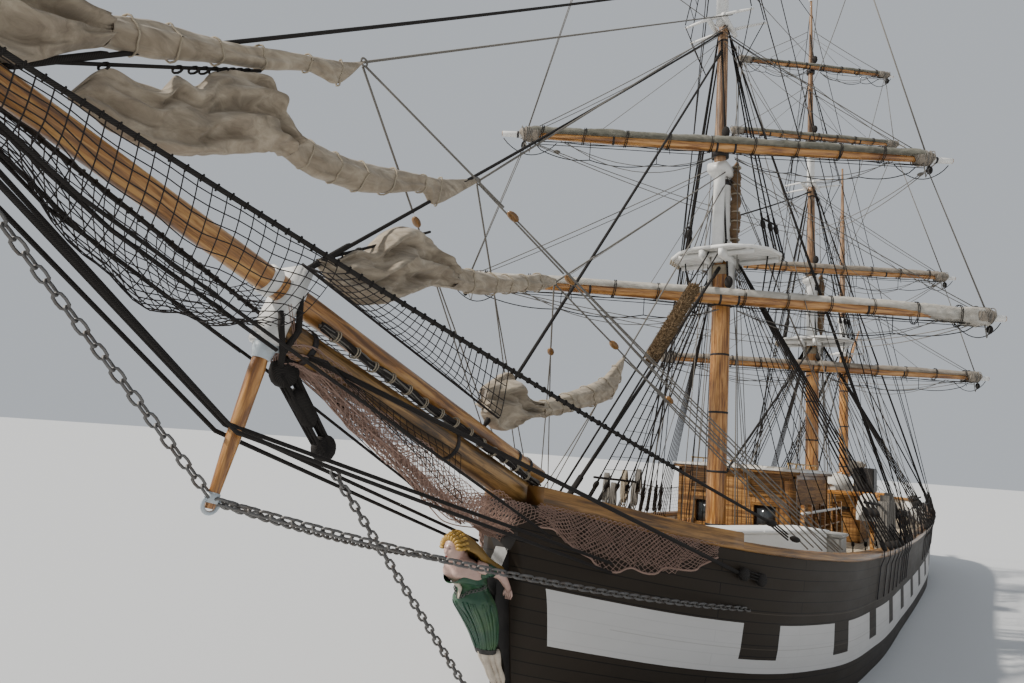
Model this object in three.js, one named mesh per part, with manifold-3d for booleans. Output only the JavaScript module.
// A three-masted barque at 1:2 scale: hull, spars, furled sails, main stays and deck pieces.
// Tables are in full-size metres: +X forward from amidships, +Y to port, +Z up from the waterline.
import * as THREE from 'three';
import { mergeVertices } from 'three/addons/utils/BufferGeometryUtils.js';
import ManifoldModule from 'manifold-3d';

const wasm = await ManifoldModule();
wasm.setup();
const { Manifold, Mesh } = wasm;

const M = 500;            // model millimetres for one full-size metre, at 1:2
const GAP = 0.3 / M;      // clearance between pieces that rest, turn or are cut to each other
const DEG = Math.PI / 180;
const FAR = 40;           // past every piece of the ship, for boxes that cut

const COLOURS = {         // colour, roughness, metalness
  black: [0x15130f, 0.55, 0], varnish: [0xb4641c, 0.3, 0], rail: [0xa8581a, 0.35, 0],
  white: [0xe9e6dc, 0.45, 0], canvas: [0xa39b87, 0.95, 0], darkCanvas: [0x55514a, 0.95, 0],
  wire: [0x1b1a18, 0.6, 0.2], deck: [0xb08d5e, 0.8, 0], bronze: [0x9c7638, 0.35, 0.9],
  paint: [0xc9a79a, 0.5, 0], steel: [0x8c98a0, 0.4, 0.7],
};

// Shapes
function solid(geometry) {
  const g = geometry.clone();
  g.deleteAttribute('normal');
  g.deleteAttribute('uv');
  const m = mergeVertices(g, 1e-6);
  return new Manifold(new Mesh({
    numProp: 3,
    vertProperties: new Float32Array(m.attributes.position.array),
    triVerts: new Uint32Array(m.index.array),
  }));
}

// Closed skin over rings of points; every ring has the same number of points.
function loft(rings) {
  const n = rings[0].length;
  const pos = rings.flat(2);
  const index = [];
  for (let i = 0; i + 1 < rings.length; i++) {
    for (let j = 0; j < n; j++) {
      const a = i * n + j, b = i * n + (j + 1) % n, c = a + n, d = b + n;
      index.push(a, b, d, a, d, c);
    }
  }
  for (const [ring, at, flip] of [[rings[0], 0, true], [rings.at(-1), (rings.length - 1) * n, false]]) {
    const middle = [0, 1, 2].map((k) => ring.reduce((s, p) => s + p[k], 0) / n);
    const centre = pos.length / 3;
    pos.push(...middle);
    for (let j = 0; j < n; j++) {
      const a = at + j, b = at + (j + 1) % n;
      index.push(...(flip ? [centre, b, a] : [centre, a, b]));
    }
  }
  const g = new THREE.BufferGeometry();
  g.setAttribute('position', new THREE.Float32BufferAttribute(pos, 3));
  g.setIndex(index);
  const made = solid(g);
  return made.volume() < 0 ? solid(g.setIndex(index.map((_, k) => index[k - k % 3 + 2 - k % 3]))) : made;
}

// Round or oval spar from a to b. rows: [share of the length, radius, second radius if oval]
function spar(a, b, rows, sides = 10, turn = 0.5) {
  const from = new THREE.Vector3(...a), to = new THREE.Vector3(...b);
  const along = to.clone().sub(from).normalize();
  const up = Math.abs(along.z) > 0.9 ? new THREE.Vector3(1, 0, 0) : new THREE.Vector3(0, 0, 1);
  const v = up.sub(along.clone().multiplyScalar(up.dot(along))).normalize();
  const u = v.clone().cross(along);
  return loft(rows.map(([share, ru, rv = ru]) => {
    const c = from.clone().lerp(to, share);
    return Array.from({ length: sides }, (_, k) => {
      const t = (k + turn) / sides * 2 * Math.PI;
      return c.clone().addScaledVector(u, ru * Math.cos(t)).addScaledVector(v, rv * Math.sin(t)).toArray();
    });
  }));
}
// The two ends of a line, each moved out by `by`.
function longer(a, b, by) {
  const step = a.map((v, k) => (b[k] - v) * by / Math.hypot(...a.map((w, i) => b[i] - w)));
  return [a.map((v, k) => v - step[k]), b.map((v, k) => v + step[k])];
}
const rod = (a, b, r, sides = 8) => spar(a, b, [[0, r], [1, r]], sides);

function box(low, high) {
  const size = low.map((l, k) => high[k] - l);
  return solid(new THREE.BoxGeometry(...size).translate(...low.map((l, k) => l + size[k] / 2)));
}

// Plate in the XZ plane from points [x, z], with its thickness across the ship.
function plate(points, y0, y1) {
  const shape = new THREE.Shape(points.map(([x, z]) => new THREE.Vector2(x, z)));
  const g = new THREE.ExtrudeGeometry(shape, { depth: y1 - y0, bevelEnabled: false });
  return solid(g.rotateX(Math.PI / 2).translate(0, y1, 0));
}
const ball = (c, r, detail = 1) => solid(new THREE.IcosahedronGeometry(r, detail).translate(...c));
const join = (...list) => Manifold.union(list.flat());
// The solid grown by about `by`, as shifted copies, to cut a clearance round it.
const grown = (made, by = GAP) => join(made, [-by, by].flatMap((d) => [
  made.translate(d, 0, 0), made.translate(0, d, 0), made.translate(0, 0, d)]));
const largest = (made) => made.decompose().sort((a, b) => b.volume() - a.volume())[0];

const ship = new THREE.Group();
ship.name = 'tall_ship';
function add(name, made, colour) {
  const mesh = made.getMesh();
  const g = new THREE.BufferGeometry();
  const p = Float32Array.from(mesh.vertProperties, (value) => value * M);
  g.setAttribute('position', new THREE.BufferAttribute(p, 3));
  g.setIndex(Array.from(mesh.triVerts));
  g.computeVertexNormals();
  const [color, roughness, metalness] = COLOURS[colour];
  const material = new THREE.MeshStandardMaterial({ color, roughness, metalness, flatShading: true });
  const node = new THREE.Mesh(g, material);
  node.name = name;
  ship.add(node);
  return made;
}

// Hull
// x, rail height, half-breadth at the rail, keel height, fullness (large is boxy, under 1 is hollow)
const HULL = [
  [18.52, 3.60, 0.28, 2.87, 1.6], [18.3, 3.55, 0.50, 1.30, 1.5], [17.9, 3.46, 0.82, -0.40, 1.3],
  [17.3, 3.33, 1.25, -2.40, 1.25], [16.3, 3.13, 1.98, -3.90, 1.35], [14.8, 2.91, 2.95, -4.45, 1.5],
  [12.5, 2.69, 3.65, -4.60, 2.0], [8.5, 2.47, 3.97, -4.60, 3.0], [3.0, 2.32, 4.00, -4.60, 3.6],
  [-3.0, 2.31, 4.00, -4.60, 3.6], [-8.0, 2.43, 3.95, -4.60, 2.6], [-11.5, 2.59, 3.80, -4.60, 1.5],
  [-14.2, 2.76, 3.50, -4.60, 0.7], [-16.5, 2.95, 3.00, -4.60, 0.4], [-17.8, 3.08, 2.45, -4.60, 0.36],
  [-18.75, 3.08, 1.60, -4.60, 0.3],
];
const LEVELS = [0, 0.1, 0.24, 0.4, 0.56, 0.72, 0.87, 1];   // ring points' heights, from keel to knuckle
const TOPSIDE = 0.97;     // share of the rail's half-breadth that the side has reached there
const KEEL_HALF = 0.14;
const BULWARK = 0.9;      // rail above the deck
const WALL = 0.16;        // bulwark thickness
const WALL_LEAN = 0.985;  // share of the bulwark's inner half-breadth that is left at the deck
const KNUCKLE = { underDeck: 0.25, overKeel: 0.3 };      // where the round of the side meets the topside
const DECK_ENDS = { bow: 18.2, stern: [-18.55, 3.08, 1.77] };   // the stern's x, rail and half-breadth
const RUDDER_X = -16.55;

function hullRing([x, rail, half, keel, full]) {
  const inner = Math.min(KEEL_HALF, half * TOPSIDE), deckLow = rail - BULWARK - KNUCKLE.underDeck;
  const knuckle = Math.max(deckLow, keel + KNUCKLE.overKeel);
  const port = LEVELS.map((u) => [x, inner + (half * TOPSIDE - inner) * (1 - (1 - u) ** full),
    keel + u * (knuckle - keel)]);
  port.push([x, half, rail]);
  return [...port, ...port.map(([a, b, c]) => [a, -b, c]).reverse()];
}
function hullAt(x, column) {
  const k = Math.max(1, HULL.findIndex((row) => row[0] <= x));
  const [a, b] = [HULL[k - 1], HULL[k < 1 ? 1 : k]];
  return a[column] + (b[column] - a[column]) * (x - a[0]) / (b[0] - a[0]);
}
const deckZ = (x) => hullAt(x, 1) - BULWARK;
// Everything above the deck and between the bulwarks, up to `top`; `lift` raises its floor.
function aboveDeck(lift, top, wall = WALL) {
  const rows = HULL.filter(([x]) => x < DECK_ENDS.bow && x > DECK_ENDS.stern[0]);
  return loft([...rows, DECK_ENDS.stern].map(([x, rail, half]) => {
    const y = half - wall, foot = y * WALL_LEAN, z = rail - BULWARK + lift;
    return [[x, foot, z], [x, y, rail], [x, y, top], [x, -y, top], [x, -y, rail], [x, -foot, z]];
  }));
}
const BOW_TILT = 0.356;   // rise of the bowsprit and jibboom for each metre forward
const BOWSPRIT = { heel: [15.8, 2.87], cap: [23.167, 5.493], r: 0.215, tenon: 0.12 };
const JIBBOOM = { heel: [17.6, 3.965], end: [28.25, 7.756], r: 0.145 };
const xz = ([x, z]) => [x, 0, z];
const bowspritRows = (grow) => [[0, 0.2 + grow], [0.45, BOWSPRIT.r + grow], [0.9763, 0.185 + grow],
  [0.9766, BOWSPRIT.tenon + grow], [1, BOWSPRIT.tenon + grow]];
const bowspritSolid = (grow) => spar(...longer(xz(BOWSPRIT.heel), xz(BOWSPRIT.cap), grow),
  bowspritRows(grow), 12);
const KNEE = [[17.9, 3.25], [18.3, 3.1], [18.46, 2.95], [18.55, 2.8], [18.78, 2.5], [18.78, 1.75], [18.6, 1.5],
  [18.42, 1.2], [18.28, 0.5], [18.15, 0], [17.97, -1.0], [17.6, -1.9], [17.4, -1.0], [17.9, 1.0]];

const KNEE_HALF = 0.13;
const COUNTER = [[RUDDER_X + 0.05, 0.55], [-17.8, 0.95], [-19.5, 1.9]];   // the stern's underside, going aft
const SHAFT = { y: 1.5, z: -2.9, x: -14.6 };             // where a propeller shaft leaves its bossing
const BOSSING = { x: -11.2, y: 1.0, z: -2.75, past: 0.1, rows: [[0, 0.3], [0.8, 0.24], [1, 0.17]] };
const STRUT = { aft: 0.1, fore: 0.5, half: 0.05 };       // from the centreline out to the bossing

let hull = loft(HULL.map(hullRing));
hull = hull.subtract(aboveDeck(0, FAR));
const underStern = [[COUNTER[0][0], -FAR], ...COUNTER, [-FAR, COUNTER.at(-1)[1]], [-FAR, -FAR]];
hull = hull.subtract(plate(underStern, -FAR, FAR));
hull = join(hull, plate(KNEE, -KNEE_HALF, KNEE_HALF));
for (const side of [1, -1]) {
  const shaftY = side * SHAFT.y;
  const bossing = spar([BOSSING.x, side * BOSSING.y, BOSSING.z], [SHAFT.x - BOSSING.past, shaftY, SHAFT.z],
    BOSSING.rows, 10).subtract(box([-FAR, -FAR, -FAR], [SHAFT.x, FAR, FAR]));
  const strut = box([SHAFT.x + STRUT.aft, Math.min(0, shaftY), SHAFT.z - STRUT.half],
    [SHAFT.x + STRUT.fore, Math.max(0, shaftY), SHAFT.z + STRUT.half]);
  hull = join(hull, bossing, strut);
}
const DECK_BLOCKS = [     // low corner, high corner: bitts and coamings that stand on the deck
  [[15.55, -0.45, 1.9], [16.05, 0.45, 3.25]],
  [[-15.35, -0.35, 1.4], [-14.75, 0.35, 3.05]],
  [[7.1, -1.2, 1.3], [7.3, -1.0, 2.5]], [[7.1, 1.0, 1.3], [7.3, 1.2, 2.5]],
];
for (const [low, high] of DECK_BLOCKS) hull = join(hull, box(low, high));
const CAPSTAN_X = 13.4;
const CAPSTAN_PAD = { up: 0.12, r: 0.5 };
const MAST_FOOT = 0.5;    // where masts, houses and pads start, below the deck that cuts them
const capstanFoot = deckZ(CAPSTAN_X) + CAPSTAN_PAD.up;
hull = join(hull, rod([CAPSTAN_X, 0, MAST_FOOT], [CAPSTAN_X, 0, capstanFoot], CAPSTAN_PAD.r, 12));
hull = hull.subtract(bowspritSolid(GAP));

// Rail along the bulwark's top: x, forward of RAISED it is a taller plank.
const RAISED = 15.3;
const PLANK = { raised: 0.3, low: 0.15, inboard: 0.26, lip: 0.05 };
const STERN_RAIL = { x: -18.45, y: 0.9, aft: 0.36, spread: 1.9 };
const RAIL_XS = [18.3, 17.9, 17.3, 16.3, RAISED + 0.01, RAISED - 0.01, 14.8, 12.5, 8.5, 3, -3, -8, -11.5, -14.2,
  -16.5, -17.8];
function railRing(x) {
  const z0 = hullAt(x, 1) + GAP, z1 = z0 + (x > RAISED ? PLANK.raised : PLANK.low);
  const inner = hullAt(x, 2) - PLANK.inboard, outer = hullAt(x, 2) + PLANK.lip;
  return (side) => [[x, side * inner, z0], [x, side * outer, z0], [x, side * outer, z1], [x, side * inner, z1]];
}
const railPorts = RAIL_XS.map(railRing);
const sternRail = [1, -1].map((side) => {
  const { x } = STERN_RAIL, y = side * STERN_RAIL.y;
  const [aft, wide, z0] = [x - STERN_RAIL.aft, y * STERN_RAIL.spread, hullAt(x, 1) + GAP];
  return [[x, y, z0], [aft, wide, z0], [aft, wide, z0 + PLANK.low], [x, y, z0 + PLANK.low]];
});
const railAll = loft([...railPorts.map((f) => f(1)), ...sternRail, ...railPorts.map((f) => f(-1)).reverse()]);
const hullGrown = grown(hull);
add('cap_rail', railAll.subtract(bowspritSolid(GAP)), 'rail');

// Rudder and screws
const RUDDER = [[0, 0.45], [-0.45, 0.55], [-1.15, -0.4], [-1.35, -2.2], [-1.2, -4.2], [0, -4.45]];
const RUDDER_HALF = 0.09;
const STOCK = { r: 0.11, low: -4.4, high: 0.5 };
const rudder = join(
  plate(RUDDER.map(([x, z]) => [RUDDER_X + x, z]), -RUDDER_HALF, RUDDER_HALF),
  rod([RUDDER_X, 0, STOCK.low], [RUDDER_X, 0, STOCK.high], STOCK.r, 12),
);
const stockBore = (STOCK.r + GAP) / Math.cos(Math.PI / 12);
const stockTop = STOCK.high + 0.01;
const boreRows = [[0, stockBore], [1, stockBore]];
hull = hull.subtract(spar([RUDDER_X, 0, -FAR], [RUDDER_X, 0, stockTop], boreRows, 12, 0));
add('rudder', rudder, 'black');

const SCREW = { blades: 3, long: 0.62, hub: [[0, 0.16], [0.6, 0.15], [1, 0.05]], at: 0.25, pitch: 35 };
const BLADE = [[-0.03, -0.17, 0.08], [0.03, 0.17, 0.64]];      // low and high corner, from the hub's axis
for (const [name, side] of [['port', 1], ['starboard', -1]]) {
  const hub = spar([SHAFT.x - GAP, 0, 0], [SHAFT.x - SCREW.long, 0, 0], SCREW.hub, 12);
  const blades = Array.from({ length: SCREW.blades }, (_, k) => box(...BLADE)
    .rotate([0, 0, side * SCREW.pitch]).rotate([k * 360 / SCREW.blades, 0, 0])
    .translate(SHAFT.x - SCREW.at, 0, 0));
  add(`propeller_${name}`, join(hub, blades).translate(0, side * SHAFT.y, SHAFT.z), 'bronze');
}

// Bowsprit, jibboom and what hangs from them
add('bowsprit', bowspritSolid(0), 'varnish');
const jibboomRows = (grow) => [[0, 0.13 + grow], [0.5, JIBBOOM.r + grow], [0.85, 0.13 + grow], [1, 0.08 + grow]];
const jibboomSolid = (grow) => spar(...longer(xz(JIBBOOM.heel), xz(JIBBOOM.end), grow),
  jibboomRows(grow), 12);
add('jibboom', jibboomSolid(0), 'varnish');
const CAP_AT = [22.99, 5.72];
const CAP_HALF = [0.09, 0.2, 0.46];
const bowCap = box(CAP_HALF.map((half) => -half), CAP_HALF).rotate([0, -Math.atan(BOW_TILT) / DEG, 0])
  .translate(...xz(CAP_AT)).subtract(bowspritSolid(GAP)).subtract(jibboomSolid(GAP));
add('bowsprit_cap', bowCap, 'white');
const STRIKER = { top: [23.07, 5.46], tip: [23.52, 3.62] };
const striker = spar(xz(STRIKER.top), xz(STRIKER.tip), [[0, 0.07], [0.15, 0.085], [1, 0.05]], 10)
  .subtract(grown(bowCap)).subtract(bowspritSolid(GAP));
add('dolphin_striker', largest(striker), 'varnish');
const BOBSTAY = { top: [22.94, 0, 5.26], end: [18.0, 0, -0.15], r: 0.045 };
const bobstay = rod(BOBSTAY.top, BOBSTAY.end, BOBSTAY.r).subtract(bowspritSolid(GAP)).subtract(hullGrown);
add('bobstay', largest(bobstay), 'wire');
const MARTINGALE = [['martingale_stay', [26.91, 0, 7.2], [23.52, 0, 3.78]],
  ['martingale_backstay_port', [23.5, 0.0, 3.85], [14.9, 2.78, 1.98]],
  ['martingale_backstay_starboard', [23.5, 0.0, 3.85], [14.9, -2.78, 1.98]]];
const strikerGrown = grown(striker);
const CHAIN_R = 0.035;
const MIDLINE = 0.01;     // each backstay keeps this far to its own side
const martingales = MARTINGALE.map(([, a, b]) => rod(a, b, CHAIN_R).subtract(jibboomSolid(GAP))
  .subtract(strikerGrown));
martingales[1] = martingales[1].subtract(box([0, -FAR, 0], [FAR, MIDLINE, FAR])).subtract(hullGrown);
martingales[2] = martingales[2].subtract(box([0, -MIDLINE, 0], [FAR, FAR, FAR])).subtract(hullGrown);
MARTINGALE.forEach(([name], k) => add(name, largest(martingales[k]), 'wire'));

// Masts
// Radius of a shaft at height z, from its rows of share and radius between its ends.
function radiusAt(rows, z0, z1, z) {
  const t = (z - z0) / (z1 - z0);
  const k = Math.max(1, rows.findIndex(([share]) => share >= t));
  const [a, b] = [rows[k - 1], rows[k]];
  return a[1] + (b[1] - a[1]) * (t - a[0]) / (b[0] - a[0]);
}
const SIDES = 12;         // facets of a mast and of the collars that turn on it
// Ring round a mast: its bore's facets face the mast's edges, GAP away.
function collar(x, z, mastR, half, wall) {
  const bore = (mastR + GAP) / Math.cos(Math.PI / SIDES);
  return spar([x, 0, z - half], [x, 0, z + half], [[0, bore + wall], [1, bore + wall]], SIDES, 0)
    .subtract(spar([x, 0, z - 1], [x, 0, z + 1], [[0, bore], [1, bore]], SIDES, 0));
}
const GROUND = aboveDeck(GAP, FAR);    // a mast's foot is cut to the deck's slope
const MASTS = {
  // x, lower mast: top of it, height of its top platform; topmast: its x, top, crosstrees;
  // topgallant mast: its x, truck; radii of lower mast, topmast, topgallant mast
  fore: { x: 8.5, cap: 12.8, top: 10.2, tx: 8.94, tcap: 18.6, trees: 17.1, gx: 9.26, truck: 25.75 },
  main: { x: -3.7, cap: 12.5, top: 9.8, tx: -3.26, tcap: 18.1, trees: 16.6, gx: -2.94, truck: 25.25 },
};
const TOP_HALF = 0.05;    // half the thickness of a top's platform
// A top's port edge: ahead of the mast, to port of it
const TOP_PORT = [[-0.95, 1.35], [-0.35, 1.5], [0.25, 1.38], [0.7, 1.0], [0.98, 0.5]];
const TOP_OUTLINE = [...TOP_PORT, ...TOP_PORT.map(([ahead, y]) => [ahead, -y]).reverse()];
const HEEL = { topmast: 0.25, gallant: 0.12, mizzen: 0.15 };     // how far each heel is below its platform
const TRESTLE = { aft: 0.9, fore: 1.0, inner: 0.2, outer: 0.34, deep: 0.25 };
const CAP = { past: 0.27, half: 0.28, deep: 0.28 };
const SMALL_CAP = { past: 0.2, half: 0.2, deep: 0.22 };
// axis and x of the low corner, axis and x of the high corner, y and z of both, from the crosstrees' height
const TREES = [
  ['tx', -0.3, 'tx', -0.2, -1.15, 1.15, -0.05, 0.04], ['gx', 0.2, 'gx', 0.3, -1.0, 1.0, -0.05, 0.04],
  ['tx', -0.45, 'gx', 0.42, -0.28, -0.16, -0.16, 0], ['tx', -0.45, 'gx', 0.42, 0.16, 0.28, -0.16, 0],
  ['tx', -0.22, 'tx', 0.1, -0.28, 0.28, -0.16, -0.03],
];
const TRUCK = [[0, 0.1], [0.6, 0.11], [1, 0.05]];
const R = { lower: 0.27, head: 0.2, topmast: 0.16, topHead: 0.13, gallant: 0.115, truck: 0.05 };
for (const [name, m] of Object.entries(MASTS)) {
  const neck = (m.top - MAST_FOOT) / (m.cap - MAST_FOOT);
  const lowerRows = [[0, R.lower], [neck - 0.03, R.lower - 0.02], [neck - 0.01, R.head], [1, R.head]];
  const gallantRows = [[0, R.gallant], [0.5, R.gallant - 0.015], [1, R.truck]];
  const topmastRows = [[0, R.topmast], [0.55, R.topmast], [0.8, R.topHead], [1, R.topHead]];
  m.lowerAt = (z) => radiusAt(lowerRows, MAST_FOOT, m.cap, z);
  m.topmastAt = (z) => radiusAt(topmastRows, m.top - HEEL.topmast, m.tcap, z);
  m.gallantAt = (z) => radiusAt(gallantRows, m.trees - HEEL.gallant, m.truck, z);
  const fat = (rows, grow) => rows.map(([share, r]) => [share, r + grow]);
  const lowerShaft = spar([m.x, 0, MAST_FOOT], [m.x, 0, m.cap], lowerRows, SIDES);
  const gallantOf = (grow) => spar([m.gx, 0, m.trees - HEEL.gallant - grow], [m.gx, 0, m.truck + grow],
    fat(gallantRows, grow), SIDES);
  const topmastShaft = (grow) => spar([m.tx, 0, m.top - HEEL.topmast - grow], [m.tx, 0, m.tcap + grow],
    fat(topmastRows, grow), SIDES);
  const platform = join(
    loft([-TOP_HALF, TOP_HALF].map((up) => TOP_OUTLINE.map(([ahead, y]) => [m.x + ahead, y, m.top + up]))),
    [[-TRESTLE.outer, -TRESTLE.inner], [TRESTLE.inner, TRESTLE.outer]].map(([y0, y1]) =>
      box([m.x - TRESTLE.aft, y0, m.top - TRESTLE.deep], [m.x + TRESTLE.fore, y1, m.top])),
  );
  const cap = box([m.x - CAP.past, -CAP.half, m.cap - CAP.deep], [m.tx + CAP.past, CAP.half, m.cap]);
  const lower = join(lowerShaft.intersect(GROUND), platform, cap).subtract(topmastShaft(GAP));
  add(`${name}_lower_mast`, lower, 'varnish');
  m.lower = grown(lower);
  const trees = join(
    TREES.map(([a, x0, b, x1, y0, y1, z0, z1]) =>
      box([m[a] + x0, y0, m.trees + z0], [m[b] + x1, y1, m.trees + z1])),
    box([m.tx - SMALL_CAP.past, -SMALL_CAP.half, m.tcap - SMALL_CAP.deep],
      [m.gx + SMALL_CAP.past, SMALL_CAP.half, m.tcap]),
  );
  const topmast = join(topmastShaft(0), trees).subtract(gallantOf(GAP));
  add(`${name}_topmast`, topmast, 'varnish');
  m.topmast = grown(topmast);
  m.gallant = gallantOf(GAP);
  const truck = spar([m.gx, 0, m.truck - 0.02], [m.gx, 0, m.truck + 0.1], TRUCK, 10);
  add(`${name}_topgallant_mast`, join(gallantOf(0), truck), 'varnish');
}
const MIZZEN = { x: -11.3, cap: 12.2, top: 10.4, tx: -10.93, truck: 20.35 };
const MIZZEN_R = 0.22;
const MIZZEN_ROWS = [[0, MIZZEN_R], [0.8, MIZZEN_R], [0.86, 0.16], [1, 0.16]];
// axis and x of the low corner, axis and x of the high corner, half-width, which height, z of both from it
const MIZZEN_BLOCKS = [['x', -0.45, 'tx', 0.35, 0.3, 'top', -0.12, 0], ['x', -0.3, 'x', -0.2, 0.9, 'top', 0, 0.09],
  ['x', -0.2, 'tx', 0.2, 0.2, 'cap', -0.25, 0]];
const mizzenTopmast = (grow) => spar([MIZZEN.tx, 0, MIZZEN.top - HEEL.mizzen - grow],
  [MIZZEN.tx, 0, MIZZEN.truck], [[0, 0.15 + grow], [0.5, 0.12 + grow], [1, 0.05 + grow]], 12);
const mizzenLower = join(
  spar([MIZZEN.x, 0, MAST_FOOT], [MIZZEN.x, 0, MIZZEN.cap], MIZZEN_ROWS, 12).intersect(GROUND),
  MIZZEN_BLOCKS.map(([a, x0, b, x1, half, level, z0, z1]) => box([MIZZEN[a] + x0, -half, MIZZEN[level] + z0],
    [MIZZEN[b] + x1, half, MIZZEN[level] + z1])),
).subtract(mizzenTopmast(GAP));
add('mizzen_lower_mast', mizzenLower, 'varnish');
add('mizzen_topmast', mizzenTopmast(0), 'varnish');

// Yards and their furled sails
const YARDS = [
  // name, mast and which shaft of it, height, half-length, radius, distance ahead, turn (port arm aft),
  // the sail's half-length, half-thickness, half-height and colour
  ['fore_course', 'fore', 'lower', 8.85, 7.6, 0.17, 0.62, 35, 7.15, 0.19, 0.1, 'canvas'],
  ['fore_topsail', 'fore', 'topmast', 13.1, 6.25, 0.145, 0.52, 33.5, 5.6, 0.19, 0.13, 'darkCanvas'],
  ['fore_topgallant', 'fore', 'gallant', 19.4, 4.3, 0.11, 0.42, 35, 3.9, 0.15, 0.11, 'canvas'],
  ['fore_royal', 'fore', 'gallant', 22.6, 3.4, 0.085, 0.36, 35, 3.05, 0.12, 0.09, 'canvas'],
  ['main_course', 'main', 'lower', 8.6, 6.85, 0.165, 0.62, 32, 6.4, 0.19, 0.1, 'canvas'],
  ['main_topsail', 'main', 'topmast', 12.7, 5.75, 0.14, 0.52, 33, 5.3, 0.18, 0.12, 'darkCanvas'],
  ['main_topgallant', 'main', 'gallant', 18.5, 3.94, 0.1, 0.42, 37, 3.55, 0.14, 0.1, 'canvas'],
  ['main_royal', 'main', 'gallant', 21.8, 3.6, 0.085, 0.36, 39, 3.3, 0.11, 0.08, 'canvas'],
];
const SHAFTS = { lower: ['x', 'lowerAt'], topmast: ['tx', 'topmastAt'], gallant: ['gx', 'gallantAt'] };
const COLLAR = { half: 0.1, wall: 0.09 };
const TRUSS = { half: 0.08, high: 0.07, lap: 0.02 };     // the bar from a yard to its collar
const SEAT = 0.84;        // share of a sail's half-height that its centreline stands over the yard's top
const ARM = [[0, 0.5], [0.04, 0.55], [0.25, 0.85], [0.42, 1], [0.58, 1], [0.75, 0.85], [0.96, 0.55], [1, 0.5]];
const BUNCH = [[0, 0.35], [0.06, 0.7], [0.2, 0.85], [0.38, 1], [0.5, 0.95], [0.62, 1], [0.8, 0.85], [0.94, 0.7],
  [1, 0.35]];             // share of the length, share of the furled sail's thickness
for (const [name, mast, shaft, z, half, r, ahead, turn, sailHalf, thick, high, colour] of YARDS) {
  const m = MASTS[mast], [axisKey, radiusKey] = SHAFTS[shaft];
  const x = m[axisKey], mastR = m[radiusKey](z - COLLAR.half);
  const place = (made) => made.rotate([0, 0, turn]).translate(x, 0, z);
  const armOf = (grow) => spar([ahead, half, 0], [ahead, -half, 0], ARM.map(([t, k]) => [t, r * k + grow]), 10);
  const boreOut = mastR / Math.cos(Math.PI / SIDES) + COLLAR.wall;
  const truss = box([boreOut - TRUSS.lap, -TRUSS.half, -TRUSS.high], [ahead, TRUSS.half, TRUSS.high]);
  add(`${name}_yard`, join(place(join(armOf(0), truss)), collar(x, z, mastR, COLLAR.half, COLLAR.wall)), 'varnish');
  const seat = r + SEAT * high;
  const sail = spar([ahead, sailHalf, seat], [ahead, -sailHalf, seat],
    BUNCH.map(([t, k]) => [t, thick * k, high * k]), 10);
  const clearance = rod([0, 0, -1], [0, 0, 2], boreOut + TRUSS.lap, SIDES);
  add(`${name}_sail`, place(sail.subtract(armOf(GAP)).subtract(clearance)), colour);
}

// Stays: name, upper end, lower end, radius. Each is cut to what it ends on.
const STAYS = [
  ['fore_stay', [8.5, 0, 10.02], [17.0, 0, 3.3], 0.035],
  ['fore_topmast_stay', [8.94, 0, 16.4], [19.3, 0, 4.57], 0.03],
  ['inner_jib_stay', [8.94, 0, 16.95], [22.95, 0, 6.0], 0.025],
  ['jib_stay', [9.26, 0, 18.3], [25.9, 0, 6.92], 0.025],
  ['flying_jib_stay', [9.26, 0, 24.3], [27.9, 0, 7.63], 0.022],
  ['main_stay', [-3.7, 0, 9.62], [8.5, 0, 3.8], 0.035],
  ['main_topmast_stay', [-3.26, 0, 16.35], [8.5, 0, 11.3], 0.028],
  ['mizzen_stay', [-11.3, 0, 10.2], [-3.7, 0, 3.3], 0.03],
];
const { fore, main } = MASTS;
const CUTS = {
  fore_stay: [fore.lower, bowspritSolid(GAP)],
  fore_topmast_stay: [fore.topmast, jibboomSolid(GAP)],
  inner_jib_stay: [fore.topmast, jibboomSolid(GAP), grown(bowCap)],
  jib_stay: [fore.topmast, fore.gallant, jibboomSolid(GAP)],
  flying_jib_stay: [fore.gallant, jibboomSolid(GAP)],
  main_stay: [main.lower, fore.lower],
  main_topmast_stay: [main.topmast, fore.lower],
  mizzen_stay: [grown(mizzenLower), main.lower],
};
const staySolid = {};
for (const [name, a, b, r] of STAYS) {
  let made = rod(a, b, r);
  for (const cut of CUTS[name]) made = made.subtract(cut);
  add(name, largest(made), 'wire');
  staySolid[name] = rod(a, b, r + GAP);
}

// Headsails furled in bunches on their stays: rows of x, z, half-width, half-height
const HEADSAILS = {
  flying_jib: [[26.9, 8.05, 0.12, 0.2], [26.2, 8.1, 0.3, 0.45], [25.3, 7.95, 0.36, 0.5], [24.4, 7.95, 0.2, 0.22],
    [22.5, 8.65, 0.12, 0.13]],
  outer_jib: [[25.2, 7.1, 0.12, 0.14], [24.6, 7.04, 0.26, 0.3], [23.9, 7.1, 0.3, 0.36], [22.9, 7.4, 0.2, 0.22],
    [20.0, 8.05, 0.11, 0.12]],
  inner_jib: [[22.35, 6.35, 0.14, 0.2], [21.8, 6.45, 0.28, 0.38], [21.0, 6.6, 0.3, 0.42], [20.2, 6.8, 0.18, 0.2],
    [17.6, 7.2, 0.11, 0.12]],
  fore_topmast_staysail: [[19.3, 5.3, 0.14, 0.2], [18.9, 5.4, 0.26, 0.36], [18.3, 5.5, 0.26, 0.34],
    [17.5, 5.62, 0.16, 0.17], [14.6, 6.2, 0.1, 0.11]],
};
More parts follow.
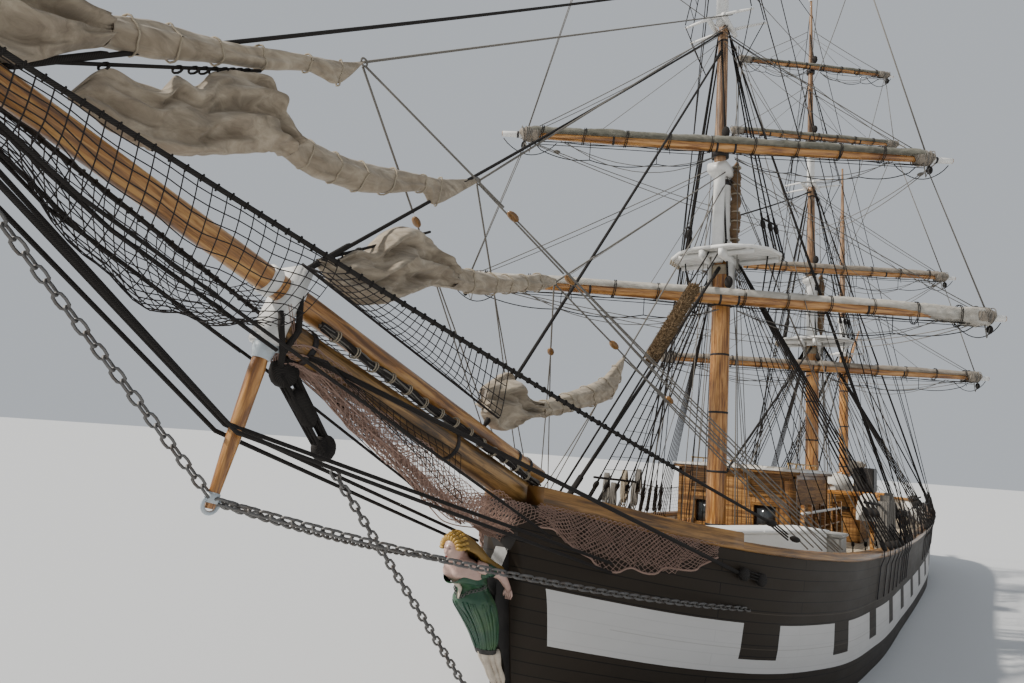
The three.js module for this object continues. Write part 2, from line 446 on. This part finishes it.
for (const [name, rows] of Object.entries(HEADSAILS)) {
  let made = loft(rows.map(([x, z, w, h]) => Array.from({ length: 10 }, (_, k) => {
    const t = (k + 0.5) / 5 * Math.PI;
    return [x, w * Math.cos(t), z + h * Math.sin(t)];
  })));
  for (const stay of Object.values(staySolid)) made = made.subtract(stay);
  made = made.subtract(jibboomSolid(GAP)).subtract(bowspritSolid(GAP));
  add(`${name}_furled`, largest(made), 'canvas');
}

// Spanker gear on the mizzen
const BOOM = { z: 4.3, end: -19.3, rise: 0.35, r: 0.14 };
const GAFF = { z: 9.3, end: -16.4, rise: 3.2, r: 0.09 };
const JAW = { half: 0.12, wall: 0.08, lap: 0.01 };
const mizzenCollar = (z) => collar(MIZZEN.x, z, MIZZEN_R, JAW.half, JAW.wall);
const jawX = MIZZEN.x - MIZZEN_R - JAW.wall + JAW.lap;
const boomSpar = (grow) => spar([jawX, 0, BOOM.z], [BOOM.end, 0, BOOM.z + BOOM.rise],
  [[0, 0.1 + grow], [0.4, BOOM.r + grow], [1, 0.08 + grow]], 10);
add('spanker_boom', join(boomSpar(0), mizzenCollar(BOOM.z)), 'varnish');
add('spanker_gaff', join(spar([jawX, 0, GAFF.z], [GAFF.end, 0, GAFF.z + GAFF.rise],
  [[0, 0.08], [0.4, GAFF.r], [1, 0.05]], 10), mizzenCollar(GAFF.z)), 'varnish');
const SPANKER = { x0: -11.95, up0: 0.33, x1: -18.3, up1: 0.53 };    // its ends, over the boom's heel
const SPANKER_ROWS = [[0, 0.12, 0.16], [0.12, 0.22, 0.3], [0.5, 0.2, 0.26], [0.9, 0.14, 0.18], [1, 0.07, 0.1]];
const spanker = spar([SPANKER.x0, 0, BOOM.z + SPANKER.up0], [SPANKER.x1, 0, BOOM.z + SPANKER.up1],
  SPANKER_ROWS, 10);
add('spanker_furled', spanker.subtract(boomSpar(GAP)), 'canvas');

// Figurehead: rows of x, z, half-width, half-depth up the leaning body
const FIGURE = [[18.36, 0.9, 0.17, 0.13], [18.62, 1.3, 0.18, 0.18], [18.8, 1.5, 0.22, 0.18],
  [18.93, 1.74, 0.25, 0.26], [19.1, 2.02, 0.29, 0.32], [19.22, 2.22, 0.31, 0.34], [19.3, 2.4, 0.24, 0.26], [19.5, 2.58, 0.27, 0.29],
  [19.58, 2.72, 0.29, 0.25], [19.58, 2.82, 0.18, 0.14], [19.64, 2.92, 0.1, 0.1]];
const HEAD = { at: [19.7, 0, 3.02], r: 0.17 };
const HAIR = [[19.6, 0, 3.06], [18.98, 0, 2.68]];
const ARM_FROM = [19.5, 0.25, 2.74], ARM_TO = [18.82, 0.34, 2.36];
const figure = join(
  loft(FIGURE.map(([x, z, w, d]) => Array.from({ length: 10 }, (_, k) => {
    const t = (k + 0.5) / 5 * Math.PI;
    return [x + d * Math.cos(t), w * Math.sin(t), z - d * 0.3 * Math.cos(t)];
  }))),
  ball(HEAD.at, HEAD.r),
  spar(...HAIR, [[0, 0.19, 0.14], [0.5, 0.24, 0.13], [1, 0.16, 0.06]], 8),
  [1, -1].map((s) => spar([ARM_FROM[0], s * ARM_FROM[1], ARM_FROM[2]], [ARM_TO[0], s * ARM_TO[1], ARM_TO[2]],
    [[0, 0.075], [1, 0.055]], 8)),
);
add('figurehead', largest(figure.subtract(plate(KNEE, -KNEE_HALF - GAP, KNEE_HALF + GAP).translate(GAP, 0, 0))
  .subtract(hullGrown)), 'paint');

// Deckhouses, hollow, with their windows and doors cut
const HOUSES = [
  // name, aft x, forward x, half-width, top, windows a side, door's side of the aft wall
  ['fore_deckhouse', 2.4, 6.8, 1.65, 4.35, 3, 1],
  ['aft_deckhouse', -9.8, -5.6, 1.5, 3.75, 4, -1],
];
const SKIN = 0.09;
const ROOF = { deep: 0.12, past: 0.15, lap: 0.01, skin: 0.02 };
const WINDOW = { half: 0.3, low: 1.2, high: 1.85, endY: 0.85 };       // low and high are over the deck
const DOOR = { y: 0.75, half: 0.36, sill: 0.25, head: 2.0, lap: 0.04, thick: 0.05 };   // laps over the wall
for (const [name, x0, x1, half, top, count, doorSide] of HOUSES) {
  const floor = deckZ((x0 + x1) / 2);
  const eaves = top - ROOF.deep;
  const [low, high] = [floor + WINDOW.low, floor + WINDOW.high];
  let house = join(box([x0, -half, MAST_FOOT], [x1, half, eaves]),
    box([x0 - ROOF.past, -half - ROOF.past, eaves - ROOF.lap], [x1 + ROOF.past, half + ROOF.past, top]));
  house = house.subtract(box([x0 + SKIN, -half + SKIN, 0], [x1 - SKIN, half - SKIN, eaves - ROOF.skin]));
  const pitch = (x1 - x0) / count;
  for (let k = 0; k < count; k++) {
    const x = x0 + pitch * (k + 0.5);
    house = house.subtract(box([x - WINDOW.half, -half - 1, low], [x + WINDOW.half, half + 1, high]));
  }
  for (const y of [WINDOW.endY, -WINDOW.endY]) {
    house = house.subtract(box([x1 - 1, y - WINDOW.half, low], [x1 + 1, y + WINDOW.half, high]));
  }
  const doorY = doorSide * DOOR.y, leaf = DOOR.half + DOOR.lap;
  const sill = floor + DOOR.sill, head = floor + DOOR.head;
  house = house.subtract(box([x0 - 1, doorY - DOOR.half, sill], [x0 + 1, doorY + DOOR.half, head]));
  add(name, house.intersect(GROUND), 'varnish');
  add(`${name}_door`, box([x0 - GAP - DOOR.thick, doorY - leaf, sill - DOOR.lap],
    [x0 - GAP, doorY + leaf, head + DOOR.lap]), 'rail');
}

// Deck pieces
const onDeck = (made) => made.intersect(GROUND);
const HATCH = [           // low corner, high corner: coaming, cover
  [[-1.6, -1.1, MAST_FOOT], [1.2, 1.1, 2.0]],
  [[-1.5, -1.0, 1.9], [1.1, 1.0, 2.08]],
];
add('main_hatch', onDeck(join(HATCH.map(([low, high]) => box(low, high)))), 'deck');
const CAPSTAN_HIGH = 1.0;
const CAPSTAN_ROWS = [[0, 0.4], [0.15, 0.36], [0.3, 0.24], [0.7, 0.22], [0.78, 0.34], [1, 0.32]];
const capstanEnds = [capstanFoot + GAP, capstanFoot + CAPSTAN_HIGH].map((z) => [CAPSTAN_X, 0, z]);
add('capstan', spar(...capstanEnds, CAPSTAN_ROWS, 12), 'wire');
const WHEEL = { x: -14.6, z: 2.85, r: 0.56, thick: 0.09, band: 0.1, grip: 0.17, spokeR: 0.028, hubR: 0.11,
  hubAft: 0.15, hubFore: 0.14 };
const rim = rod([WHEEL.x, 0, WHEEL.z], [WHEEL.x + WHEEL.thick, 0, WHEEL.z], WHEEL.r, 20)
  .subtract(rod([WHEEL.x - 1, 0, WHEEL.z], [WHEEL.x + 1, 0, WHEEL.z], WHEEL.r - WHEEL.band, 20));
const SPOKES = 8;
const spokes = Array.from({ length: SPOKES / 2 }, (_, k) => {
  const t = k * Math.PI / (SPOKES / 2), reach = WHEEL.r + WHEEL.grip, middle = WHEEL.x + WHEEL.thick / 2;
  const [cy, cz] = [Math.cos(t) * reach, Math.sin(t) * reach];
  return rod([middle, cy, WHEEL.z + cz], [middle, -cy, WHEEL.z - cz], WHEEL.spokeR, 6);
});
const wheelHub = rod([WHEEL.x - WHEEL.hubAft + GAP, 0, WHEEL.z], [WHEEL.x + WHEEL.hubFore, 0, WHEEL.z],
  WHEEL.hubR, 12);
add('ships_wheel', join(rim, spokes, wheelHub), 'varnish');
add('hull', hull, 'black');

export default ship;
